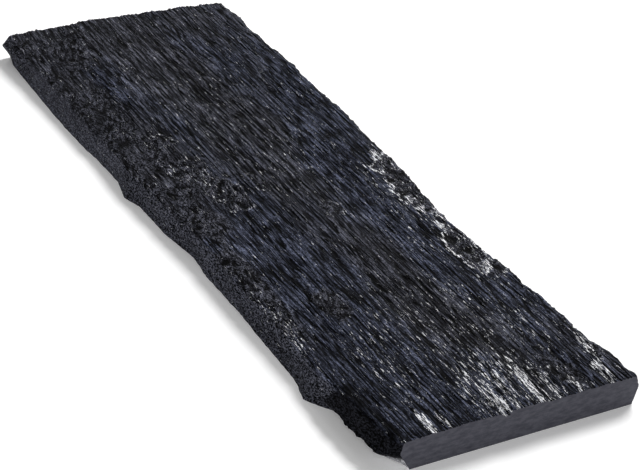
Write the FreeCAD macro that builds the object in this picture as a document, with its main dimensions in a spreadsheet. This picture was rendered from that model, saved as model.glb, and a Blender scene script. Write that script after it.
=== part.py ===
"""Slate stepping stone: one slab, riven on its face, sawn at its two ends and broken along its two sides.

Frame, in millimetres: +X runs along the slab to its square sawn end, +Y across it, +Z up from the flat bed.
The origin is the middle of the slab's box, on the ground.
"""

import FreeCAD
import Part

import os

import Sketcher

NODE = "slate_slab"
SHEET = "Sizes"

# Driving dimensions, in millimetres.
SIZES = {
    "slab_length": 804,  # from one sawn end to the other
    "slab_width": 268,  # between the outermost points of the two broken sides
    "slab_thickness": 33,  # from the bed to the highest grain of the riven face
    "belly_height": 18,  # where the broken sides stand out furthest
    "end_skew": 9,  # how far the second saw cut runs in over the slab's width
    "cutter_margin": 20,  # how far the riven cut reaches past the slab all round
}

# The broken sides, from the skewed end to the square one. Each corner is a place along the slab, as a
# share of its half length, and then three setbacks from the slab's outermost line, in millimetres.
LEVELS = ("foot", "belly", "shoulder")
SIDES = {
    "left": [
        (-1.000, 11, 0, 12),
        (-0.950, 5, 1, 9),
        (-0.865, 4, 6, 8),
        (-0.750, 3, 7, 9),
        (-0.620, 2, 8, 12),
        (-0.480, 3, 8, 11),
        (-0.380, 6, 9, 14),
        (-0.270, 7, 8, 12),
        (-0.195, 0, 6, 12),
        (-0.140, 7, 9, 13),
        (0.000, 8, 11, 15),
        (0.110, 15, 15, 17),
        (0.200, 11, 13, 19),
        (0.350, 12, 12, 16),
        (0.500, 10, 14, 18),
        (0.630, 9, 12, 20),
        (0.705, 2, 7, 19),
        (0.735, 9, 8, 21),
        (0.765, 18, 5, 28),
        (0.870, 28, 5, 29),
        (0.970, 34, 8, 29),
        (1.000, 36, 27, 28),
    ],
    "right": [
        (-1.000, 5, 6, 4),
        (-0.875, 3, 0, 0),
        (-0.815, 2, 4, 3),
        (-0.700, 4, 2, 3),
        (-0.560, 3, 1, 1),
        (-0.480, 3, 5, 4),
        (-0.300, 4, 2, 3),
        (-0.190, 4, 6, 6),
        (-0.040, 6, 8, 9),
        (0.060, 7, 6, 8),
        (0.110, 6, 8, 10),
        (0.200, 8, 13, 15),
        (0.270, 8, 15, 19),
        (0.345, 10, 13, 17),
        (0.450, 9, 13, 17),
        (0.510, 8, 10, 13),
        (0.600, 10, 12, 15),
        (0.660, 8, 8, 12),
        (0.780, 9, 9, 12),
        (0.850, 10, 10, 13),
        (0.900, 7, 6, 7),
        (1.000, 7, 3, 8),
    ],
}
OUTWARD = {"left": -1, "right": 1}

# The riven face. Each profile is a place along the slab, as a share of its half length, and then points
# from the left side to the right: a place across, as a share of the half width, and the drop there below
# the highest grain, in millimetres. A lower shelf runs along the left side, where a bed has come away.
RIVEN_PROFILES = [
    (-1.00, [
        (-0.86, 1.2), (-0.62, 0.6), (-0.40, 0.0), (-0.30, 0.0),
        (0.00, 0.0), (0.36, 0.4), (0.72, 0.8), (0.95, 2.6),
    ]),
    (-0.72, [
        (-0.92, 8.5), (-0.72, 7.0), (-0.56, 5.5), (-0.49, 1.6),
        (-0.10, 0.2), (0.34, 0.6), (0.70, 0.4), (0.95, 2.2),
    ]),
    (-0.34, [
        (-0.92, 9.5), (-0.76, 7.5), (-0.64, 6.0), (-0.57, 1.8),
        (-0.12, 0.8), (0.30, 0.2), (0.66, 1.0), (0.93, 1.6),
    ]),
    (-0.06, [
        (-0.90, 8.0), (-0.72, 7.0), (-0.55, 4.5), (-0.42, 1.6),
        (-0.08, 1.2), (0.28, 1.0), (0.62, 0.6), (0.92, 2.0),
    ]),
    (0.26, [
        (-0.88, 7.5), (-0.70, 4.5), (-0.50, 3.0), (-0.34, 1.4),
        (-0.06, 0.4), (0.28, 1.4), (0.64, 0.8), (0.86, 4.0),
    ]),
    (0.62, [
        (-0.86, 7.0), (-0.68, 4.0), (-0.46, 2.0), (-0.26, 0.6),
        (0.02, 1.0), (0.34, 0.8), (0.66, 1.6), (0.90, 3.0),
    ]),
    (1.00, [
        (-0.76, 1.4), (-0.58, 0.4), (-0.38, 0.6), (-0.14, 1.6),
        (0.08, 0.2), (0.32, 2.8), (0.50, 0.6), (0.90, 3.4),
    ]),
]

# Spalls: round-bottomed chips struck out of the face. Each is a place along and across the slab, as
# shares of its half length and half width, and then its depth, length and breadth, in millimetres.
SPALL_WORDS = ("along", "across", "depth", "length", "breadth")
SPALLS = {
    "sawn_edge_notch": (0.994, -0.05, 5.0, 34, 13),
    "crown_scar": (0.000, -0.46, 3.6, 86, 34),
    "right_edge_scar": (0.110, 0.90, 6.5, 128, 50),
    "right_oval_scar": (0.420, 0.77, 5.0, 84, 36),
    "end_shallow_scar": (0.905, 0.58, 5.0, 66, 26),
    "shelf_scar": (-0.845, -0.50, 5.5, 90, 30),
}
SPALL_BALL = 3.0  # half height of a spall's ellipsoid, in depths of the spall
SPALL_SPREAD = (1 - (1 - 1 / SPALL_BALL) ** 2) ** 0.5  # its half length at the face, in its own half lengths


def cell(alias):
    """The expression that reads one cell of the sheet."""
    return f"{SHEET}.{alias}"


def fill_sheet(doc):
    """Writes every size into the spreadsheet, one row for each, under its own alias."""
    cells = dict(SIZES)
    for side, corners in SIDES.items():
        for number, (along, *setbacks) in enumerate(corners):
            cells[f"{side}_along_{number}"] = along
            for level, setback in zip(LEVELS, setbacks):
                cells[f"{side}_{level}_{number}"] = setback
    for number, (along, points) in enumerate(RIVEN_PROFILES):
        cells[f"riven_along_{number}"] = along
        for place, (across, drop) in enumerate(points):
            cells[f"riven_across_{number}_{place}"] = across
            cells[f"riven_drop_{number}_{place}"] = drop
    for name, values in SPALLS.items():
        for word, value in zip(SPALL_WORDS, values):
            cells[f"{name}_{word}"] = value
    sheet = doc.addObject("Spreadsheet::Sheet", SHEET)
    for row, (alias, value) in enumerate(cells.items(), start=1):
        sheet.set(f"A{row}", alias)
        sheet.set(f"B{row}", str(value))
        sheet.setAlias(f"B{row}", alias)
    doc.recompute()


def polygon_sketch(body, name, plane_role, offset, corners):
    """A closed polygon on one of the body's origin planes, moved off it by the offset expression.

    corners holds a pair of expressions for each corner, across and up in the sketch.
    """
    sketch = body.newObject("Sketcher::SketchObject", name)
    plane = next(f for f in body.Origin.OriginFeatures if f.Role == plane_role)
    sketch.AttachmentSupport = [(plane, "")]
    sketch.MapMode = "FlatFace"
    sketch.setExpression("AttachmentOffset.Base.z", offset)
    places = [tuple(float(sketch.evalExpression(text)) for text in pair) for pair in corners]
    points = [FreeCAD.Vector(x, y, 0) for x, y in places]
    count = len(points)
    sketch.addGeometry([Part.LineSegment(points[i], points[(i + 1) % count]) for i in range(count)], False)
    for i in range(count):
        sketch.addConstraint(Sketcher.Constraint("Coincident", i, 2, (i + 1) % count, 1))
    for i, pair in enumerate(corners):
        for kind, text, value in zip(("DistanceX", "DistanceY"), pair, places[i]):
            index = sketch.addConstraint(Sketcher.Constraint(kind, -1, 1, i, 1, value))
            sketch.setExpression(f"Constraints[{index}]", text)
    return sketch


def outline_corner(side, number, level):
    """One corner of the slab's outline at a level, as a pair of expressions."""
    along = f"{cell(f'{side}_along_{number}')} * {cell('slab_length')} / 2"
    if side == "right" and number == 0:
        along += f" + {cell('end_skew')}"
    across = f"{OUTWARD[side]} * ({cell('slab_width')} / 2 - {cell(f'{side}_{level}_{number}')})"
    return along, across


def outline_sketch(body, level, height):
    """The slab's outline, seen from above, at one level of its broken sides."""
    right = [outline_corner("right", n, level) for n in range(len(SIDES["right"]))]
    left = [outline_corner("left", n, level) for n in reversed(range(len(SIDES["left"])))]
    return polygon_sketch(body, f"outline_{level}", "XY_Plane", height, right + left)


def block(body):
    """The slab before its face is riven: three outlines, joined by the facets of the broken sides."""
    heights = {"foot": "0", "belly": cell("belly_height"), "shoulder": cell("slab_thickness")}
    foot, belly, shoulder = [outline_sketch(body, level, heights[level]) for level in LEVELS]
    loft = body.newObject("PartDesign::AdditiveLoft", "block")
    loft.Profile = foot
    loft.Sections = [belly, shoulder]
    loft.Ruled = True
    return loft


def riven_sketch(body, number):
    """The face's profile across the slab at one place, closed above the slab."""
    along, points = RIVEN_PROFILES[number]
    reach = f"({cell('slab_length')} / 2 + {cell('cutter_margin')})"
    half = f"{cell('slab_width')} / 2"
    heights = [f"{cell('slab_thickness')} - {cell(f'riven_drop_{number}_{p}')}" for p in range(len(points))]
    face = [(f"{cell(f'riven_across_{number}_{p}')} * {half}", h) for p, h in enumerate(heights)]
    past = f"({half} + {cell('cutter_margin')})"
    top = f"{cell('slab_thickness')} + {cell('cutter_margin')}"
    corners = [(f"-{past}", heights[0]), *face, (past, heights[-1]), (past, top), (f"-{past}", top)]
    return polygon_sketch(
        body, f"riven_profile_{number}", "YZ_Plane", f"{cell(f'riven_along_{number}')} * {reach}", corners
    )


def riven_face(body):
    """Takes off what lies above the riven face, in one long cut through all its profiles."""
    first, *rest = [riven_sketch(body, number) for number in range(len(RIVEN_PROFILES))]
    cut = body.newObject("PartDesign::SubtractiveLoft", "riven_face")
    cut.Profile = first
    cut.Sections = rest
    cut.Ruled = False
    return cut


def spall(body, name):
    """One chip, cut by a flat ellipsoid whose middle stands above the face."""
    chip = body.newObject("PartDesign::SubtractiveEllipsoid", name)
    depth = cell(f"{name}_depth")
    chip.setExpression("Radius1", f"{SPALL_BALL} * {depth}")
    chip.setExpression("Radius2", f"{cell(f'{name}_length')} / 2 / {SPALL_SPREAD}")
    chip.setExpression("Radius3", f"{cell(f'{name}_breadth')} / 2 / {SPALL_SPREAD}")
    chip.setExpression("AttachmentOffset.Base.x", f"{cell(f'{name}_along')} * {cell('slab_length')} / 2")
    chip.setExpression("AttachmentOffset.Base.y", f"{cell(f'{name}_across')} * {cell('slab_width')} / 2")
    chip.setExpression("AttachmentOffset.Base.z", f"{cell('slab_thickness')} + {SPALL_BALL - 1} * {depth}")
    plane = next(f for f in body.Origin.OriginFeatures if f.Role == "XY_Plane")
    chip.AttachmentSupport = [(plane, "")]
    chip.MapMode = "FlatFace"
    return chip


def must_shrink(doc, body, before, what):
    """Recomputes, and stops if a cut took nothing away."""
    doc.recompute()
    volume = body.Shape.Volume
    if not volume < before - 1:
        raise RuntimeError(f"{what} cut nothing")
    return volume


def main():
    doc = FreeCAD.newDocument("stepping_stone")
    fill_sheet(doc)
    body = doc.addObject("PartDesign::Body", NODE)
    body.Label = NODE
    block(body)
    doc.recompute()
    volume = body.Shape.Volume
    riven_face(body)
    volume = must_shrink(doc, body, volume, "riven_face")
    for name in SPALLS:
        spall(body, name)
        volume = must_shrink(doc, body, volume, name)

    failed = [o.Name for o in doc.Objects if "Invalid" in o.State or "Error" in o.State]
    if failed:
        raise RuntimeError(f"these objects failed: {failed}")
    shape = body.Shape
    if shape.isNull() or not shape.isValid() or len(shape.Solids) != 1:
        raise RuntimeError(f"{NODE} isn't one valid solid")
    box = shape.BoundBox
    print(f"{NODE}: {box.XLength:.1f} x {box.YLength:.1f} x {box.ZLength:.1f} mm, {volume / 1e6:.3f} litres")
    os.makedirs("parts", exist_ok=True)
    shape.exportStep(f"parts/{NODE}.step")


main()
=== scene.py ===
"""The looks of a slate stepping stone: riven face, broken sides, sawn ends, pale floor, soft light.

The slab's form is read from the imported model. A fine mesh is laid over that form, the grain, flakes and
scars of slate are cut into it, and each surface is given its finish.
"""

import logging
import math
from dataclasses import dataclass, field
from enum import Enum
from typing import Sequence

import bmesh
import bpy
import numpy as np
from mathutils import Matrix, Vector
from mathutils.bvhtree import BVHTree


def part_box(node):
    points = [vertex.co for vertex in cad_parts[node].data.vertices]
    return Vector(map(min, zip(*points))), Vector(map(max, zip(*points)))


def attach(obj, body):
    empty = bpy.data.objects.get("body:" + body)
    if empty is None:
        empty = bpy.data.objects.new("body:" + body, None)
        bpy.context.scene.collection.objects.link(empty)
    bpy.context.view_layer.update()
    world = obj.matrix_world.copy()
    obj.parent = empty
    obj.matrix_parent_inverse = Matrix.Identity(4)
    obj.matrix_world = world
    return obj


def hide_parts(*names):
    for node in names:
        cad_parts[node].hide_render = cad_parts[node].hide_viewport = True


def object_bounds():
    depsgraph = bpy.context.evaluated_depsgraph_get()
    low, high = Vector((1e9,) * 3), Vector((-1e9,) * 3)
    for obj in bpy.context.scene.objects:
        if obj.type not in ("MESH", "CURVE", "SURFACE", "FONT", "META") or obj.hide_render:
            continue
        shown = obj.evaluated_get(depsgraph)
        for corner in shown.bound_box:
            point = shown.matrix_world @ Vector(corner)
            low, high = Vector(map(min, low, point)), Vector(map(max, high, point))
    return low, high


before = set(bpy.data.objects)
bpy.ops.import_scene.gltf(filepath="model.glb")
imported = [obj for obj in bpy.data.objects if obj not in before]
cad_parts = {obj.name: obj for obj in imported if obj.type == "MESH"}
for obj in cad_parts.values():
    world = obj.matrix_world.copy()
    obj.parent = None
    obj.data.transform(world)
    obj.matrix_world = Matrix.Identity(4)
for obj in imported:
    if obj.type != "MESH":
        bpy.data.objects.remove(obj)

CAD_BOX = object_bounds()
NODE = "slate_slab"
MM = 0.001
SEEN_RAYS = ("Is Camera Ray", "Is Glossy Ray", "Is Transmission Ray")

log = logging.getLogger("stepping_stone")

Array = np.ndarray
Colour = tuple[float, float, float, float]


class Surface(Enum):
    """The slab's kinds of surface, by the number of the finish that each one takes."""

    RIVEN = 0
    BROKEN = 1
    SAWN = 2
    BED = 3


def eased(value: Array, low: float, high: float) -> Array:
    """A smooth rise from 0 at low to 1 at high.

    Args:
        value: the numbers to ease.
        low: where the rise starts.
        high: where it ends. It may be less than low, for a fall.

    Returns:
        The eased numbers, from 0 to 1.
    """
    share = np.clip((value - low) / (high - low), 0.0, 1.0)
    return share * share * (3.0 - 2.0 * share)


@dataclass(frozen=True)
class Span:
    """A smooth change of one measure, from 0 at its start to 1 at its end. The end may be the lower."""

    start: float
    end: float

    def of(self, value: Array) -> Array:
        """The share of the change at each value."""
        return eased(value, self.start, self.end)


class Noise:
    """Smooth seeded noise over two coordinates, from about -1 to 1."""

    SIZE = 256

    def __init__(self, seed: int) -> None:
        """Draws the table of slopes.

        Args:
            seed: fixes the pattern.
        """
        rng = np.random.default_rng(seed)
        angle = rng.random((self.SIZE, self.SIZE)) * 2.0 * math.pi
        self.slope_a = np.cos(angle)
        self.slope_b = np.sin(angle)

    def at(self, a: Array, b: Array) -> Array:
        """One octave of the noise.

        Args:
            a: first coordinate, in cells.
            b: second coordinate, in cells.

        Returns:
            The noise at each pair.
        """
        a, b = np.broadcast_arrays(a, b)
        low_a, low_b = np.floor(a).astype(int), np.floor(b).astype(int)
        part_a, part_b = a - low_a, b - low_b

        def corner(step_a: int, step_b: int) -> Array:
            """The share of the noise that one corner of the cell gives."""
            row, column = (low_a + step_a) % self.SIZE, (low_b + step_b) % self.SIZE
            along = self.slope_a[row, column] * (part_a - step_a)
            return along + self.slope_b[row, column] * (part_b - step_b)

        ease_a = part_a**3 * (part_a * (part_a * 6 - 15) + 10)
        ease_b = part_b**3 * (part_b * (part_b * 6 - 15) + 10)
        near = corner(0, 0) * (1 - ease_a) + corner(1, 0) * ease_a
        far = corner(0, 1) * (1 - ease_a) + corner(1, 1) * ease_a
        return (near * (1 - ease_b) + far * ease_b) * 1.5

    def layered(self, a: Array, b: Array, octaves: int = 4, gain: float = 0.5) -> Array:
        """Several octaves of the noise, each twice as fine as the last.

        Args:
            a: first coordinate, in cells of the coarsest octave.
            b: second coordinate, in cells of the coarsest octave.
            octaves: how many.
            gain: strength of each octave against the last.

        Returns:
            The noise at each pair.
        """
        total, strength = np.zeros(np.broadcast(a, b).shape), 1.0
        for octave in range(octaves):
            total += strength * self.at(a * 2**octave + 17.3 * octave, b * 2**octave + 5.7 * octave)
            strength *= gain
        return total


@dataclass(frozen=True)
class Ripple:
    """One pattern of noise: the table that it draws on, and its features' size in millimetres."""

    table: int
    length: float
    breadth: float
    octaves: int = 1
    gain: float = 0.5

    def over(self, tables: Sequence[Noise], a: Array, b: Array) -> Array:
        """The pattern over two coordinates.

        Args:
            tables: the slab's tables of noise.
            a: coordinate along the features, in millimetres.
            b: coordinate across them, in millimetres.

        Returns:
            The noise at each pair.
        """
        table = tables[self.table]
        return table.layered(a / self.length, b / self.breadth, self.octaves, self.gain)


@dataclass(frozen=True)
class Scar:
    """A patch where the face broke across its grain, or where highlights are painted as glints. Lengths
    are in millimetres.
    """

    BORDER = Span(1.15, 0.75)
    FRAYING = 0.28

    x: float
    y: float
    length: float
    breadth: float
    rough: float
    # Strength of the painted highlights in the patch.
    glint: float
    turn: float = 0.0

    def share(self, x: Array, y: Array, ragged: Array) -> Array:
        """How far each point is inside the patch.

        Args:
            x: place along the slab.
            y: place across it.
            ragged: noise that frays the patch's border.

        Returns:
            1 inside, 0 outside, and between them at the border.
        """
        turn = math.radians(self.turn)
        along = (x - self.x) * math.cos(turn) + (y - self.y) * math.sin(turn)
        across = (y - self.y) * math.cos(turn) - (x - self.x) * math.sin(turn)
        radius = np.hypot(along / (self.length / 2), across / (self.breadth / 2))
        return self.BORDER.of(radius + self.FRAYING * ragged)

    def rim(self, x: Array, y: Array, ragged: Array) -> Array:
        """How near each point is to the patch's border, from 0 to 1."""
        inside = self.share(x, y, ragged)
        return 4.0 * inside * (1.0 - inside)


class CadForm:
    """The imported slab's form, read with rays. All in metres."""

    START = 0.6  # how far out the rays start
    INSET = 0.0004  # how far inside the ends the outermost sections are read
    CLIMB = 0.0005  # step of the search for the shoulder
    JUMP = 0.0013  # a side that steps in by more than this in one climb has ended

    def __init__(self, node: bpy.types.Object) -> None:
        """Merges a copy of the node's mesh and readies it for rays.

        Args:
            node: the CAD node's object.
        """
        shell = bmesh.new()
        shell.from_mesh(node.data)
        bmesh.ops.remove_doubles(shell, verts=shell.verts, dist=1e-6)
        self.tree = BVHTree.FromBMesh(shell)
        shell.free()
        self.low, self.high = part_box(NODE)

    def end(self, y: float, outward: int) -> float:
        """Where the slab ends at one place across it.

        Args:
            y: place across the slab.
            outward: 1 for the +X end, -1 for the other.

        Returns:
            The end's x.
        """
        start = Vector((outward * self.START, y, self.high.z * 0.5))
        return self.tree.ray_cast(start, Vector((-outward, 0, 0)))[0].x

    def side(self, x: float, z: float, outward: int) -> float | None:
        """Where the slab's side is at one section and height, or None above the slab."""
        hit = self.tree.ray_cast(Vector((x, outward * self.START, z)), Vector((0, -outward, 0)))[0]
        return None if hit is None else hit.y

    def top(self, x: float, y: float) -> float | None:
        """The face's height at one place, or None off the slab."""
        hit = self.tree.ray_cast(Vector((x, y, self.START)), Vector((0, 0, -1)))[0]
        return None if hit is None else hit.z

    def shoulder(self, x: float, outward: int) -> float:
        """The height at which a side ends and the face starts.

        Args:
            x: the section.
            outward: 1 for the +Y side, -1 for the other.

        Returns:
            The shoulder's z.
        """
        z = self.high.z * 0.3
        y = self.side(x, z, outward)
        while True:
            above = self.side(x, z + self.CLIMB, outward)
            if above is None or outward * (y - above) > self.JUMP:
                return z
            z, y = z + self.CLIMB, above


@dataclass
class RivenSlab:
    """The slab: a fine mesh over the CAD's form, with slate's grain, flakes and scars."""

    along_cells: int = 320
    across_cells: int = 248
    height_cells: int = 13
    seed: int = 7
    tables: int = 10
    crest_rise: float = 0.5  # how far the highest crests stand above the CAD's face
    top_gap: float = 0.02  # what the crests leave free below the top of the CAD's box

    # The grain: lens-shaped ridges, fine splits, and thin tiers that step down to one side.
    lens: Ripple = Ripple(4, 66.0, 4.4)
    split: Ripple = Ripple(5, 34.0, 2.3)
    long_sway: Ripple = Ripple(2, 70.0, 34.0)
    short_sway: Ripple = Ripple(3, 24.0, 12.0)
    long_sway_reach: float = 2.6
    short_sway_reach: float = 1.1
    grain_slant: float = 0.02
    tier_shift: Ripple = Ripple(6, 90.0, 16.0, 3)
    tier_breadth: float = 4.6
    tier_reach: float = 1.6
    tier_rise: float = 0.86  # share of a tier that rises, before it falls to the next
    lens_share: float = 0.45
    lens_gain: float = 1.7
    lens_power: float = 0.7
    split_share: float = 0.3
    split_gain: float = 2.0
    tier_share: float = 0.32
    grain_depth: float = 2.7
    depth_change: Ripple = Ripple(7, 120.0, 50.0)
    depth_least: float = 0.8
    depth_swing: float = 0.4
    heave: Ripple = Ripple(3, 150.0, 30.0, 3)
    heave_depth: float = 0.9
    heave_middle: float = 0.5

    # The scars and the lower shelf: crumbs and curved plumes.
    fray: Ripple = Ripple(0, 16.0, 11.0, 4)
    shelf_height: Span = Span(29.6, 27.2)
    shelf_across: Span = Span(-38.0, -52.0)
    shelf_along: Span = Span(330.0, 150.0)
    shelf_fray: Ripple = Ripple(1, 60.0, 30.0, 3)
    shelf_border: Span = Span(-0.75, 0.1)
    shelf_rough: float = 0.85
    inner_glint: float = 0.3  # glint inside a scar, against the glint of its rim
    swirl_along: Ripple = Ripple(8, 26.0, 22.0)
    swirl_across: Ripple = Ripple(9, 24.0, 20.0)
    swirl_reach: float = 7.0
    crumb: Ripple = Ripple(1, 12.0, 6.5, 4, 0.6)
    plume: Ripple = Ripple(2, 19.0, 2.6)
    plume_slant: float = 0.35
    plume_gain: float = 1.8
    plume_depth: float = 1.9
    crumb_depth: float = 0.6
    broken_depth: float = 1.6
    broken_limits: tuple[float, float] = (-0.4, 4.0)

    # The worn arrises of the face.
    side_wear_reach: Span = Span(5.5, 0.0)
    side_wear: Ripple = Ripple(5, 14.0, 1.0, 3)
    side_wear_depths: tuple[float, float] = (1.1, 1.3)
    end_wear_reach: Span = Span(6.0, 0.0)
    end_wear: Ripple = Ripple(6, 9.0, 1.0, 3)
    end_wear_depths: tuple[float, float] = (0.9, 1.6)
    wear_limit: float = 3.0

    # The broken sides, in from the CAD's sides, and the chipped top of the far end.
    ragged: Ripple = Ripple(7, 17.0, 13.0, 4, 0.55)
    ragged_depth: float = 0.9
    leaf_shift: Ripple = Ripple(8, 44.0, 30.0, 3)
    leaf_thickness: float = 3.4
    leaf_reach: float = 1.5
    leaf_depth: float = 0.55
    side_depth: float = 0.35
    jag: Ripple = Ripple(4, 6.0, 8.0, 3, 0.7)
    jag_depths: tuple[float, float] = (1.3, 0.4)  # near the face, and below
    jag_from: float = 0.6  # share of the side's height below the stronger jags
    arris_share: float = 1.25
    foot_share: float = 0.6
    side_limits: tuple[float, float] = (-0.9, 3.0)
    corner_share: float = 0.5
    end_chip: Ripple = Ripple(9, 5.0, 5.0, 3)
    end_chip_depths: tuple[float, float] = (0.7, 1.6)
    end_chip_limit: float = 2.6
    end_chip_height: Span = Span(0.55, 1.0)

    # Where the left side has its smooth hollow, its chip and its plain facet; the chip and the facet are
    # painted lighter, standing in for light on them.
    scallop_along: Span = Span(304.0, 314.0)
    scallop_onto_face: float = 8.0
    scallop_fray: float = 4.0
    chip_along: Span = Span(364.0, 380.0)
    chip_up: Span = Span(15.0, 10.0)
    chip_fray: float = 3.0
    facet_start: Span = Span(-350.0, -320.0)
    facet_end: Span = Span(-80.0, -110.0)
    # Painted light and shade in the broken zones, with a painted highlight on the scars' rims.
    coarse_level: float = 0.2
    coarse_crumb: float = 0.3
    coarse_plume: float = 0.6
    painted_rim_highlight: float = 0.4
    side_crest: float = 0.5
    side_rough: float = 0.6
    scallop_glint: float = -0.5

    scars: Sequence[Scar] = field(
        default_factory=lambda: (
            Scar(44, 117, 132, 50, 1.0, 1.0, -4),
            Scar(168, 102, 82, 34, 0.9, 1.0, -8),
            Scar(207, 108, 34, 26, 0.8, 0.5, 20),
            Scar(372, 72, 60, 27, 0.8, 0.3, 10),
            Scar(352, 117, 34, 18, 0.7, 0.5, -20),
            Scar(-2, -60, 74, 34, 1.0, 0.55, 6),
            Scar(-62, -72, 36, 40, 0.8, 0.5, 60),
            Scar(-122, -76, 34, 22, 0.8, 0.5, 40),
            Scar(-345, -72, 84, 30, 1.0, 0.2, -12),
            Scar(-262, -42, 44, 12, 0.4, 0.4, -6),
            Scar(60, 20, 34, 20, 0.7, 0.4, 0),
            Scar(205, -62, 60, 26, 0.7, 0.1, 0),
        )
    )
    # Patches where the painted highlights, bright flecks, stand thickest.
    glints: Sequence[Scar] = field(
        default_factory=lambda: (
            Scar(386, -5, 64, 9, 0.0, 0.95, -4),
            Scar(376, 10, 90, 7, 0.0, 0.85, -6),
            Scar(370, 33, 90, 9, 0.0, 0.95, -6),
            Scar(386, 49, 56, 7, 0.0, 0.9, -4),
            Scar(388, 70, 44, 8, 0.0, 0.75, -4),
            Scar(382, 104, 56, 12, 0.0, 0.8, -8),
            Scar(350, 112, 60, 8, 0.0, 0.8, -8),
            Scar(386, -76, 40, 9, 0.0, 1.1, -4),
            Scar(390, -62, 26, 7, 0.0, 0.9),
            Scar(366, 12, 110, 96, 0.0, 0.5, -6),
            Scar(290, 20, 220, 190, 0.0, 0.22),
            Scar(120, 90, 260, 50, 0.0, 0.3),
            Scar(300, -62, 130, 46, 0.0, 0.3),
            Scar(215, -118, 130, 26, 0.0, 0.4),
            Scar(-100, 20, 320, 160, 0.0, 0.1),
        )
    )

    def build(self, form: CadForm) -> bpy.types.Object:
        """Makes the slab.

        Args:
            form: the CAD's form.

        Returns:
            The finished object, with its surfaces numbered for their finishes.
        """
        mesh = self.grid()
        self.number(mesh)
        self.lay(form)
        self.carve()
        for vert, place in zip(mesh.verts, self.place):
            vert.co = place
        self.close_bed(mesh)
        self.sharpen(mesh)
        data = bpy.data.meshes.new("riven_slab")
        mesh.to_mesh(data)
        mesh.free()
        for name, values in self.marks.items():
            layer = data.attributes.new(name, "FLOAT", "POINT")
            layer.data.foreach_set("value", values.astype(np.float32))
        piece = bpy.data.objects.new("riven_slab", data)
        bpy.context.scene.collection.objects.link(piece)
        return piece

    def grid(self) -> bmesh.types.BMesh:
        """A box of two by two by two, open below, divided along each of its three ways.

        Returns:
            The divided box.
        """
        mesh = bmesh.new()
        bmesh.ops.create_cube(mesh, size=2.0)
        under = [face for face in mesh.faces if face.normal.z < -0.9]
        bmesh.ops.delete(mesh, geom=under, context="FACES_ONLY")
        for way, cells in enumerate((self.along_cells, self.across_cells, self.height_cells)):
            edges = [
                edge for edge in mesh.edges if abs(edge.verts[0].co[way] - edge.verts[1].co[way]) > 1.0
            ]
            bmesh.ops.subdivide_edges(mesh, edges=edges, cuts=cells - 1, use_grid_fill=True)
        mesh.verts.index_update()
        return mesh

    def number(self, mesh: bmesh.types.BMesh) -> None:
        """Notes each vertex's cell numbers, and the vertices of each surface.

        Args:
            mesh: the divided box.
        """
        flat = np.array([vert.co for vert in mesh.verts])
        cells = np.array((self.along_cells, self.across_cells, self.height_cells))
        self.cell = np.rint((flat + 1.0) / 2.0 * cells).astype(int)
        i, j, k = self.cell.T
        self.on_face = k == self.height_cells
        self.on_left = j == 0
        self.on_right = j == self.across_cells
        self.on_far = i == 0
        self.on_near = i == self.along_cells
        for face in mesh.faces:
            if face.normal.z > 0.9:
                face.material_index = Surface.RIVEN.value
            elif abs(face.normal.y) > 0.9:
                face.material_index = Surface.BROKEN.value
            else:
                face.material_index = Surface.SAWN.value

    def lay(self, form: CadForm) -> None:
        """Lays the grid over the CAD's form.

        Args:
            form: the CAD's form.
        """
        ends = {}
        for outward in (-1, 1):
            reach = form.high.y * 0.8
            low, high = form.end(-reach, outward), form.end(reach, outward)
            slope = (high - low) / (2 * reach)
            ends[outward] = (low + slope * reach, slope)
        stations = np.linspace(0.0, 1.0, self.along_cells + 1)
        outline = np.zeros((2, self.along_cells + 1, self.height_cells + 1, 3))
        for number, outward in enumerate((-1, 1)):
            y_guess = outward * form.high.y * 0.95
            far, near = (ends[way][0] + ends[way][1] * y_guess for way in (-1, 1))
            for i, share in enumerate(stations):
                x = far + (near - far) * share
                probe = min(max(x, far + form.INSET), near - form.INSET)
                rise = form.shoulder(probe, outward)
                for k in range(self.height_cells + 1):
                    z = rise * k / self.height_cells
                    y = form.side(probe, max(z, 1e-4), outward)
                    outline[number, i, k] = (x, y, z)
        i, j, k = self.cell.T
        share = j / self.across_cells
        left, right = outline[0, i, k], outline[1, i, k]
        self.place = left + (right - left) * share[:, None]
        edge = self.on_left | self.on_right
        for index in np.nonzero(self.on_face & ~edge)[0]:
            x, y, z = self.place[index]
            height = self.read_top(form, x, y)
            self.place[index, 2] = z if height is None else height
        ends_inside = (self.on_far | self.on_near) & ~self.on_face & ~edge
        columns = {}
        for index in np.nonzero((self.on_far | self.on_near) & self.on_face)[0]:
            columns[(i[index], j[index])] = self.place[index, 2]
        for index in np.nonzero(ends_inside)[0]:
            self.place[index, 2] = columns[(i[index], j[index])] * k[index] / self.height_cells

    def read_top(self, form: CadForm, x: float, y: float) -> float | None:
        """The face's height at one place, read further in where that place is on an end's edge."""
        for inset in (0.0, form.INSET, 4 * form.INSET, 16 * form.INSET):
            height = form.top(x - math.copysign(inset, x), y)
            if height is not None and height > form.high.z / 2:
                return height
        return None

    def carve(self) -> None:
        """Cuts the grain, scars and broken edges, and notes how each place should look."""
        self.noise = [Noise(self.seed + number) for number in range(self.tables)]
        self.x, self.y, self.z = (self.place / MM).T
        self.frayed = self.fray.over(self.noise, self.x, self.y)
        self.find_patches()
        self.cut_face()
        self.break_sides()
        self.chip_far_end()
        self.place = np.clip(self.place, np.array(CAD_BOX[0]), np.array(CAD_BOX[1]))
        self.note_marks()

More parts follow.
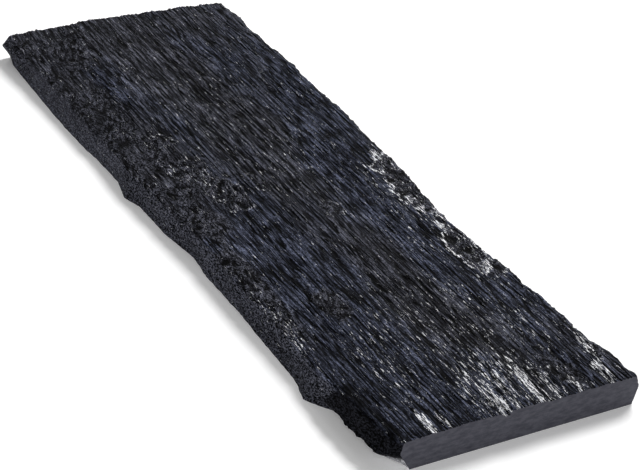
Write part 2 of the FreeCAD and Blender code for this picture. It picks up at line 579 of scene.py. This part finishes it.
    def find_patches(self) -> None:
        """Notes where the face is rough, where highlights are painted as glints, and where the scars'
        rims are.
        """
        x, y = self.x, self.y
        scar, self.glint, self.rim = np.zeros_like(x), np.zeros_like(x), np.zeros_like(x)
        for patch in self.scars:
            share = patch.share(x, y, self.frayed)
            self.rim = np.maximum(self.rim, patch.glint * patch.rim(x, y, self.frayed))
            scar = np.maximum(scar, patch.rough * share)
            self.glint = np.maximum(self.glint, self.inner_glint * patch.glint * share)
        self.glint = np.maximum(self.glint, self.rim)
        for patch in self.glints:
            self.glint = np.maximum(self.glint, patch.glint * patch.share(x, y, self.frayed))
        shelf = self.shelf_height.of(self.z) * self.shelf_across.of(y) * self.shelf_along.of(x)
        border = self.shelf_border.of(self.shelf_fray.over(self.noise, x, y))
        self.rough = np.clip(np.maximum(scar, self.shelf_rough * shelf * border), 0, 1)

    def cut_face(self) -> None:
        """Cuts the grain, the scars and the worn arrises into the face."""
        self.shape_grain()
        self.shape_scars()
        depth = self.depth_least + self.depth_swing * self.depth_change.over(self.noise, self.x, self.y)
        grained = self.grain_depth * depth * (1.0 - self.ridge)
        broken = np.clip(self.broken, *self.broken_limits)
        heave = self.heave.over(self.noise, self.x, self.y) + self.heave_middle
        drop = grained * (1 - self.rough) + broken * self.rough - self.crest_rise
        drop += self.heave_depth * heave * (1 - self.rough) + self.worn()
        top = CAD_BOX[1].z / MM
        height = np.minimum(self.z - drop, top - self.top_gap)
        self.lift_columns(np.where(self.on_face, height - self.z, 0.0))

    def shape_grain(self) -> None:
        """Works out the grain's ridges, from 0 in a split to about 1 on a crest."""
        sway = self.long_sway_reach * self.long_sway.over(self.noise, self.x, self.y)
        sway += self.short_sway_reach * self.short_sway.over(self.noise, self.x, self.y)
        across = self.y + sway + self.grain_slant * self.x
        lens = np.clip(np.abs(self.lens.over(self.noise, self.x, across)) * self.lens_gain, 0, 1)
        split = np.clip(np.abs(self.split.over(self.noise, self.x, across)) * self.split_gain, 0, 1)
        shift = self.tier_reach * self.tier_shift.over(self.noise, self.x, across)
        tier = across / self.tier_breadth + shift
        step = tier - np.floor(tier)
        step = np.where(step < self.tier_rise, step / self.tier_rise, (1 - step) / (1 - self.tier_rise))
        self.ridge = self.lens_share * lens**self.lens_power + self.split_share * split
        self.ridge += self.tier_share * step

    def shape_scars(self) -> None:
        """Works out the depth of crumbled stone, and the light and shade painted on it: lighter on raised
        crumbs and plumes and on the scars' rims, darker between them.
        """
        along = self.x + self.swirl_reach * self.swirl_along.over(self.noise, self.x, self.y)
        across = self.y + self.swirl_reach * self.swirl_across.over(self.noise, self.x, self.y)
        crumb = self.crumb.over(self.noise, along, across)
        plume = np.abs(self.plume.over(self.noise, along, across + self.plume_slant * along))
        plume = np.clip(plume * self.plume_gain, 0, 1)
        self.broken = self.broken_depth - self.crumb_depth * crumb - self.plume_depth * plume
        crumb_light_and_shade = self.coarse_level + self.coarse_crumb * crumb + self.coarse_plume * plume
        # The scars' rims get a painted highlight.
        self.crumb_light_and_shade = np.clip(crumb_light_and_shade + self.painted_rim_highlight * self.rim, 0, 1)

    def worn(self) -> Array:
        """How far the face is worn down near its sides and at the far end, in millimetres."""
        level = np.zeros_like(self.x)
        to_side = np.minimum(self.y - self.edge_line(-1), self.edge_line(1) - self.y)
        least, swing = self.side_wear_depths
        side = least + swing * self.side_wear.over(self.noise, self.x, level)
        side = np.clip(self.side_wear_reach.of(to_side) * side, 0, self.wear_limit)
        to_far = self.x - self.x[self.on_far].min()
        least, swing = self.end_wear_depths
        end = np.clip(least + swing * self.end_wear.over(self.noise, self.y, level), 0, self.wear_limit)
        return side + self.end_wear_reach.of(to_far) * end

    def break_sides(self) -> None:
        """Breaks the two long sides: rags, leaves of slate and jags."""
        x, z, level = self.x, self.z, self.cell[:, 2]
        bedding = z / self.leaf_thickness + self.leaf_reach * self.leaf_shift.over(self.noise, x, z)
        leaf = bedding - np.floor(bedding)
        side_in = self.ragged_depth * self.ragged.over(self.noise, x, z) + self.leaf_depth * leaf
        high, low = self.jag_depths
        jag_depth = np.where(level > self.jag_from * self.height_cells, high, low)
        side_in += self.side_depth + jag_depth * self.jag.over(self.noise, x, z)
        side_in *= np.where(self.on_face, self.arris_share, 1.0)
        side_in *= np.where(level == 0, self.foot_share, 1.0)
        outward = np.where(self.on_right, 1.0, np.where(self.on_left, -1.0, 0.0))
        shift = -outward * np.clip(side_in, *self.side_limits) * MM
        self.place[:, 1] += np.where(self.on_far | self.on_near, self.corner_share, 1.0) * shift

    def chip_far_end(self) -> None:
        """Chips the top of the far end."""
        least, swing = self.end_chip_depths
        chip = least + swing * self.end_chip.over(self.noise, self.y, self.z)
        high = self.end_chip_height.of(self.cell[:, 2] / self.height_cells)
        chip = np.clip(chip, 0, self.end_chip_limit) * high * MM
        self.place[:, 0] += np.where(self.on_far, chip, 0.0)

    def note_marks(self) -> None:
        """Notes the marks that the finishes read at each place."""
        reach = self.edge_line(-1) + self.scallop_onto_face + self.scallop_fray * self.frayed
        in_scallop = self.on_left | (self.on_face & (self.y < reach))
        scallop = np.where(in_scallop, self.scallop_along.of(self.x), 0.0)
        # The chip and the plain facet are painted lighter: painted light.
        chip = self.chip_along.of(self.x) * self.chip_up.of(self.z + self.chip_fray * self.frayed)
        chip = np.where(self.on_left, chip, 0.0)
        facet = self.facet_start.of(self.x) * self.facet_end.of(self.x)
        # The crest mark carries painted light and shade: high on crests and raised crumbs, low in
        # grooves.
        crest = self.ridge * (1 - self.rough) + self.rough * self.crumb_light_and_shade
        off_face = np.where(scallop > 0.5, self.scallop_glint, 0.0)
        self.marks = {
            "crest": np.clip(np.where(self.on_face, crest, self.side_crest), 0, 1),
            "rough": np.where(self.on_face, self.rough, self.side_rough),
            "glint": np.where(self.on_face, self.glint, off_face),
            "smooth": scallop * (1 - chip),
            "pale": chip,
            "plain": np.where(self.on_left, facet, 0.0),
        }

    def edge_line(self, outward: int) -> Array:
        """The y of the shoulder, in millimetres, at each vertex's own section.

        Args:
            outward: 1 for the +Y side, -1 for the other.

        Returns:
            One y for each vertex.
        """
        on_edge = self.on_face & (self.on_right if outward > 0 else self.on_left)
        line = np.zeros(self.along_cells + 1)
        line[self.cell[on_edge, 0]] = self.place[on_edge, 1] / MM
        return line[self.cell[:, 0]]

    def lift_columns(self, lift: Array) -> None:
        """Moves the face, and shares its movement down the sides and ends below it.

        Args:
            lift: the rise of each vertex of the face, in millimetres.
        """
        columns = np.zeros((self.along_cells + 1, self.across_cells + 1))
        i, j, k = self.cell.T
        columns[i[self.on_face], j[self.on_face]] = lift[self.on_face]
        self.place[:, 2] += columns[i, j] * (k / self.height_cells) * MM

    def close_bed(self, mesh: bmesh.types.BMesh) -> None:
        """Closes the slab below.

        Args:
            mesh: the open slab.
        """
        rim = [edge for edge in mesh.edges if edge.is_boundary]
        bed = bmesh.ops.holes_fill(mesh, edges=rim, sides=0)["faces"]
        for face in bed:
            face.material_index = Surface.BED.value
        bmesh.ops.triangulate(mesh, faces=bed, quad_method="BEAUTY", ngon_method="BEAUTY")

    def sharpen(self, mesh: bmesh.types.BMesh) -> None:
        """Shades the slab smooth, apart from its sharp arrises.

        Args:
            mesh: the closed slab.
        """
        for face in mesh.faces:
            face.smooth = True
        for edge in mesh.edges:
            edge.smooth = edge.calc_face_angle(0.0) < math.radians(52)


class Graph:
    """A material's nodes, made and joined in short calls."""

    def __init__(self, name: str) -> None:
        """Starts a material with a bare shader.

        Args:
            name: the material's name.
        """
        self.material = bpy.data.materials.new(name)
        self.material.use_nodes = True
        self.nodes = self.material.node_tree.nodes
        self.links = self.material.node_tree.links
        self.shader = self.nodes["Principled BSDF"]
        self.place = self.nodes.new("ShaderNodeTexCoord").outputs["Object"]

    def join(self, value: object, socket: bpy.types.NodeSocket) -> None:
        """Links a socket to another, or sets it to a value."""
        if isinstance(value, bpy.types.NodeSocket):
            self.links.new(value, socket)
        else:
            socket.default_value = value

    def noise(
        self, stretch: tuple[float, float, float], detail: float, grit: float
    ) -> bpy.types.NodeSocket:
        """Noise on the slab's own coordinates.

        Args:
            stretch: features for each metre along, across and up the slab.
            detail: octaves.
            grit: strength of the finer octaves.

        Returns:
            The noise's value.
        """
        scale = self.nodes.new("ShaderNodeMapping")
        scale.inputs["Scale"].default_value = stretch
        self.links.new(self.place, scale.inputs["Vector"])
        noise = self.nodes.new("ShaderNodeTexNoise")
        noise.inputs["Scale"].default_value = 1.0
        noise.inputs["Detail"].default_value = detail
        noise.inputs["Roughness"].default_value = grit
        self.links.new(scale.outputs["Vector"], noise.inputs["Vector"])
        return noise.outputs["Fac"]

    def mark(self, name: str) -> bpy.types.NodeSocket:
        """One of the marks that were noted on the mesh."""
        node = self.nodes.new("ShaderNodeAttribute")
        node.attribute_name = name
        return node.outputs["Fac"]

    def maths(self, operation: str, first: object, second: object = 0.0) -> bpy.types.NodeSocket:
        """A sum on two values."""
        node = self.nodes.new("ShaderNodeMath")
        node.operation = operation
        self.join(first, node.inputs[0])
        self.join(second, node.inputs[1])
        return node.outputs["Value"]

    def ranged(
        self, value: object, low: object, high: object, start: float = 0.0, end: float = 1.0
    ) -> bpy.types.NodeSocket:
        """A smooth change from start, where the value is low, to end, where it is high."""
        node = self.nodes.new("ShaderNodeMapRange")
        node.interpolation_type = "SMOOTHSTEP"
        names = ("Value", "From Min", "From Max", "To Min", "To Max")
        for name, given in zip(names, (value, low, high, start, end)):
            self.join(given, node.inputs[name])
        return node.outputs["Result"]

    def mix(self, share: object, first: object, second: object) -> bpy.types.NodeSocket:
        """A mix of two colours."""
        node = self.nodes.new("ShaderNodeMix")
        node.data_type = "RGBA"
        self.join(share, node.inputs["Factor"])
        self.join(first, node.inputs["A"])
        self.join(second, node.inputs["B"])
        return node.outputs["Result"]

    def bump(self, height: object, distance: float) -> None:
        """Roughens the shader's normal.

        Args:
            height: the relief, from 0 to 1.
            distance: how far the relief stands, in metres.
        """
        node = self.nodes.new("ShaderNodeBump")
        node.inputs["Strength"].default_value = 1.0
        node.inputs["Distance"].default_value = distance
        self.join(height, node.inputs["Height"])
        self.links.new(node.outputs["Normal"], self.shader.inputs["Normal"])

    def constant(self, **values: float) -> None:
        """Sets the shader's own sockets, named with underscores for spaces."""
        for name, value in values.items():
            self.shader.inputs[name.replace("_", " ")].default_value = value


@dataclass(frozen=True)
class SlateFinish:
    """Near-black slate with a blue cast. Light and shade are painted into its colour: lighter on crests,
    darker in grooves, with painted highlights.
    """

    # Patterns: features for each metre along, across and up.
    GRIT = (420.0, 900.0, 900.0)
    THREAD = (40.0, 1000.0, 1000.0)
    BAND = (2.6, 11.0, 11.0)
    PATCH = (5.0, 30.0, 30.0)

    # Tones: from a low to a high value of the pattern or mark, and the tone at each.
    PATCH_TONE = (0.3, 0.7, 0.78, 1.22)
    FINE_TONE = (0.43, 0.59, 0.0, 3.3)
    # Painted light and shade: the crest mark makes the colour lighter on crests and darker in grooves.
    CREST_LIGHT_GROOVE_SHADE = (0.24, 0.85, 0.03, 2.15)
    GRIT_TONE = (0.34, 0.66, 0.2, 2.1)
    ROUGH_TONE = (0.3, 0.9, 1.0, 0.72)
    SMOOTH_TONE = 0.3
    # Painted light on the left side's plain facet.
    PLAIN_TONE = 1.1

    # Flecks, painted highlights that stand in for glints: the level of noise that they start from, what
    # lowers it, and their soft edge.
    FLECK_LEVEL = 0.68
    FLECK_GLINT = 0.15
    FLECK_CREST = 0.05
    FLECK_EDGE = 0.04

    name: str
    charcoal: Colour = (0.0120, 0.0124, 0.0157, 1.0)
    navy: Colour = (0.0106, 0.0119, 0.0177, 1.0)
    # The colour of the painted highlights on the crests.
    painted_glint: Colour = (0.92, 0.93, 0.96, 1.0)
    # The chip's colour: painted light on its facet.
    pale: Colour = (0.62, 0.62, 0.66, 1.0)
    roughness: float = 0.42
    grain: tuple[float, float, float] = (18.0, 640.0, 640.0)
    relief: float = 0.0010
    fleck: tuple[float, float, float] = (95.0, 760.0, 760.0)
    # Painted light: how much lighter the slate is painted; the broken sides take more, as if lit.
    lift: float = 1.0

    def make(self) -> bpy.types.Material:
        """Builds the material.

        Returns:
            The finished material.
        """
        graph = Graph(self.name)
        crest, rough = graph.mark("crest"), graph.mark("rough")
        streak = graph.noise(self.grain, 3.0, 0.55)
        grit = graph.noise(self.GRIT, 3.0, 0.65)
        thread = graph.noise(self.THREAD, 3.0, 0.6)
        lined = graph.maths("MULTIPLY", graph.maths("ADD", streak, thread), 0.5)
        fine = graph.mix(graph.ranged(rough, 0.2, 0.8), lined, grit)
        band = graph.ranged(graph.noise(self.BAND, 4.0, 0.55), 0.44, 0.58)
        blue = graph.maths("MULTIPLY", band, graph.ranged(rough, 0.7, 0.1))
        tone = graph.ranged(graph.noise(self.PATCH, 4.0, 0.6), *self.PATCH_TONE)
        tone = graph.maths("MULTIPLY", tone, graph.ranged(fine, *self.FINE_TONE))
        # Painted light on crests and painted shade in grooves.
        tone = graph.maths("MULTIPLY", tone, graph.ranged(crest, *self.CREST_LIGHT_GROOVE_SHADE))
        tone = graph.maths("MULTIPLY", tone, graph.ranged(grit, *self.GRIT_TONE))
        tone = graph.maths("MULTIPLY", tone, graph.ranged(rough, *self.ROUGH_TONE))
        # The broken sides are painted lighter by lift, standing in for light on them; the smooth hollow
        # is darker.
        smooth = graph.ranged(graph.mark("smooth"), 0.0, 1.0, self.lift, self.SMOOTH_TONE)
        tone = graph.maths("MULTIPLY", tone, smooth)
        # Painted light on the left side's plain facet.
        tone = graph.maths("ADD", tone, graph.ranged(graph.mark("plain"), 0.0, 1.0, 0.0, self.PLAIN_TONE))
        lit = graph.nodes.new("ShaderNodeVectorMath")
        lit.operation = "SCALE"
        graph.join(graph.mix(blue, self.charcoal, self.navy), lit.inputs[0])
        graph.join(tone, lit.inputs["Scale"])
        # Painted highlights: bright flecks mixed into the colour.
        colour = graph.mix(self.fleck_share(graph, crest), lit.outputs["Vector"], self.painted_glint)
        # Painted light: the chip is painted pale.
        chip = graph.maths("MULTIPLY", graph.mark("pale"), graph.ranged(grit, 0.35, 0.6))
        graph.join(graph.mix(chip, colour, self.pale), graph.shader.inputs["Base Color"])
        gloss = graph.ranged(grit, 0.3, 0.7, self.roughness - 0.1, self.roughness + 0.14)
        graph.join(gloss, graph.shader.inputs["Roughness"])
        most, rest = graph.maths("MULTIPLY", streak, 0.7), graph.maths("MULTIPLY", grit, 0.3)
        graph.bump(graph.maths("ADD", most, rest), self.relief)
        graph.constant(Specular_IOR_Level=0.01)
        return graph.material

    def fleck_share(self, graph: Graph, crest: bpy.types.NodeSocket) -> bpy.types.NodeSocket:
        """Where the painted highlights are: bright flecks on the crests, thickest where the slate glints.

        Args:
            graph: the material's nodes.
            crest: the mark of the grain's crests.

        Returns:
            The flecks' share of the colour.
        """
        spot = graph.noise(self.fleck, 4.0, 0.75)
        glint = graph.maths("MULTIPLY", graph.mark("glint"), self.FLECK_GLINT)
        level = graph.maths("SUBTRACT", self.FLECK_LEVEL, glint)
        level = graph.maths("SUBTRACT", level, graph.maths("MULTIPLY", crest, self.FLECK_CREST))
        fleck = graph.ranged(spot, level, graph.maths("ADD", level, self.FLECK_EDGE))
        return graph.maths("MULTIPLY", fleck, graph.ranged(crest, 0.15, 0.6))


@dataclass(frozen=True)
class SawnFinish:
    """Slate cut by a saw: smooth, matt and paler, with faint marks of the blade."""

    CLOUD = (110.0, 110.0, 260.0)
    BLADE = (20.0, 30.0, 700.0)

    name: str
    stone: Colour = (0.088, 0.089, 0.108, 1.0)
    dark: Colour = (0.046, 0.046, 0.061, 1.0)
    roughness: float = 0.62

    def make(self) -> bpy.types.Material:
        """Builds the material.

        Returns:
            The finished material.
        """
        graph = Graph(self.name)
        cloud = graph.noise(self.CLOUD, 6.0, 0.7)
        line = graph.noise(self.BLADE, 3.0, 0.6)
        clouded, lined = graph.maths("MULTIPLY", cloud, 0.7), graph.maths("MULTIPLY", line, 0.3)
        shade = graph.ranged(graph.maths("ADD", clouded, lined), 0.36, 0.64)
        graph.join(graph.mix(shade, self.dark, self.stone), graph.shader.inputs["Base Color"])
        gloss = graph.ranged(line, 0.3, 0.7, self.roughness - 0.06, self.roughness + 0.08)
        graph.join(gloss, graph.shader.inputs["Roughness"])
        graph.bump(line, 0.0002)
        graph.constant(Specular_IOR_Level=0.15)
        return graph.material


def seen_level(tree: bpy.types.NodeTree, least: float) -> bpy.types.NodeSocket:
    """A level of 1 for the rays that show the background, and a lower one for the rest.

    Args:
        tree: the nodes to add it to.
        least: the level of the other rays.

    Returns:
        The level.
    """
    path = tree.nodes.new("ShaderNodeLightPath")
    level = None
    for ray in SEEN_RAYS:
        higher = tree.nodes.new("ShaderNodeMath")
        higher.operation = "MAXIMUM"
        higher.inputs[1].default_value = least
        tree.links.new(path.outputs[ray], higher.inputs[0])
        if level is not None:
            tree.links.new(level, higher.inputs[1])
        level = higher.outputs["Value"]
    return level


@dataclass(frozen=True)
class Lamp:
    """A soft square lamp that looks at the slab."""

    name: str
    place: tuple[float, float, float]
    size: float
    watts: float

    def hang(self) -> None:
        """Puts the lamp in the scene."""
        data = bpy.data.lights.new(self.name, "AREA")
        data.shape = "SQUARE"
        data.size = self.size
        data.energy = self.watts
        lamp = bpy.data.objects.new(self.name, data)
        lamp.location = self.place
        lamp.rotation_euler = (-Vector(self.place)).to_track_quat("-Z", "Y").to_euler()
        bpy.context.scene.collection.objects.link(lamp)


@dataclass
class Studio:
    """A pale floor, soft lamps, even light from all round, and the camera."""

    floor_span: float = 12.0
    floor_colour: Colour = (0.85, 0.85, 0.85, 1.0)
    seen_colour: Colour = (1.12, 1.12, 1.12, 1.0)
    world_light: float = 0.17
    fade_start: float = 0.7  # where the floor that the camera sees starts to turn plain white
    fade_end: float = 1.8
    aim: tuple[float, float, float] = (0.0782, -0.0021, 0.016)
    distance: float = 1.859
    azimuth: float = -31.81
    elevation: float = 31.38
    roll: float = 5.0
    lens: float = 110.4
    lamps: Sequence[Lamp] = field(
        default_factory=lambda: (
            Lamp("key_lamp", (-0.7, 1.5, 1.9), 1.1, 66.0),
            Lamp("back_lamp", (-2.0, 0.1, 1.7), 0.7, 5.0),
            Lamp("fill_lamp", (1.9, -1.7, 1.3), 1.6, 34.0),
        )
    )

    def build(self) -> None:
        """Sets up the whole studio."""
        self.lay_floor()
        self.light()
        self.aim_camera()

    def lay_floor(self) -> None:
        """Lays the floor just under the slab."""
        mesh = bmesh.new()
        bmesh.ops.create_grid(mesh, x_segments=1, y_segments=1, size=self.floor_span / 2)
        data = bpy.data.meshes.new("floor")
        mesh.to_mesh(data)
        mesh.free()
        floor = bpy.data.objects.new("floor", data)
        graph = Graph("pale_floor")
        graph.join(self.floor_colour, graph.shader.inputs["Base Color"])
        graph.constant(Roughness=0.9, Specular_IOR_Level=0.0)
        seen = graph.nodes.new("ShaderNodeBsdfDiffuse")
        seen.inputs["Color"].default_value = self.seen_colour
        swap = graph.nodes.new("ShaderNodeMixShader")
        reach = graph.nodes.new("ShaderNodeVectorMath")
        reach.operation = "LENGTH"
        graph.join(graph.place, reach.inputs[0])
        white = graph.nodes.new("ShaderNodeEmission")
        fade = graph.nodes.new("ShaderNodeMixShader")
        far = graph.ranged(reach.outputs["Value"], self.fade_start, self.fade_end)
        graph.join(far, fade.inputs["Fac"])
        graph.join(seen.outputs["BSDF"], fade.inputs[1])
        graph.join(white.outputs["Emission"], fade.inputs[2])
        graph.join(seen_level(graph.material.node_tree, 0.0), swap.inputs["Fac"])
        graph.join(graph.shader.outputs["BSDF"], swap.inputs[1])
        graph.join(fade.outputs["Shader"], swap.inputs[2])
        graph.join(swap.outputs["Shader"], graph.nodes["Material Output"].inputs["Surface"])
        data.materials.append(graph.material)
        bpy.context.scene.collection.objects.link(floor)

    def light(self) -> None:
        """Hangs the lamps and lights the world."""
        for lamp in self.lamps:
            lamp.hang()
        world = bpy.data.worlds.new("studio")
        bpy.context.scene.world = world
        world.use_nodes = True
        sky = world.node_tree.nodes["Background"]
        sky.inputs["Color"].default_value = (1.0, 1.0, 1.0, 1.0)
        level = seen_level(world.node_tree, self.world_light)
        world.node_tree.links.new(level, sky.inputs["Strength"])
        bpy.context.scene.view_settings.view_transform = "Standard"

    def aim_camera(self) -> None:
        """Places the camera on its line of sight and turns it."""
        azimuth, elevation = math.radians(self.azimuth), math.radians(self.elevation)
        level = math.cos(elevation)
        back = Vector((math.cos(azimuth) * level, math.sin(azimuth) * level, math.sin(elevation)))
        data = bpy.data.cameras.new("camera")
        data.lens = self.lens
        data.sensor_width = 36.0
        data.clip_start = 0.01
        camera = bpy.data.objects.new("camera", data)
        roll = Matrix.Rotation(math.radians(self.roll), 3, "Z")
        turn = ((-back).to_track_quat("-Z", "Y").to_matrix() @ roll).to_quaternion()
        place = Vector(self.aim) + back * self.distance
        camera.matrix_world = Matrix.LocRotScale(place, turn, None)
        bpy.context.scene.collection.objects.link(camera)
        bpy.context.scene.camera = camera


def main() -> None:
    """Builds the slab and its studio."""
    logging.basicConfig(level=logging.INFO)
    form = CadForm(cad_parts[NODE])
    piece = RivenSlab().build(form)
    finishes = {
        Surface.RIVEN: SlateFinish("riven_slate"),
        # The broken sides are painted lighter, standing in for light on them.
        Surface.BROKEN: SlateFinish("broken_slate", grain=(60.0, 160.0, 420.0), roughness=0.55, lift=1.8),
        Surface.SAWN: SawnFinish("sawn_slate"),
        Surface.BED: SawnFinish("bed_slate"),
    }
    for surface in Surface:
        piece.data.materials.append(finishes[surface].make())
    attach(piece, "root")
    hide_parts(NODE)
    log.info("%s: %d faces", piece.name, len(piece.data.polygons))
    Studio().build()


if __name__ == "__main__":
    main()
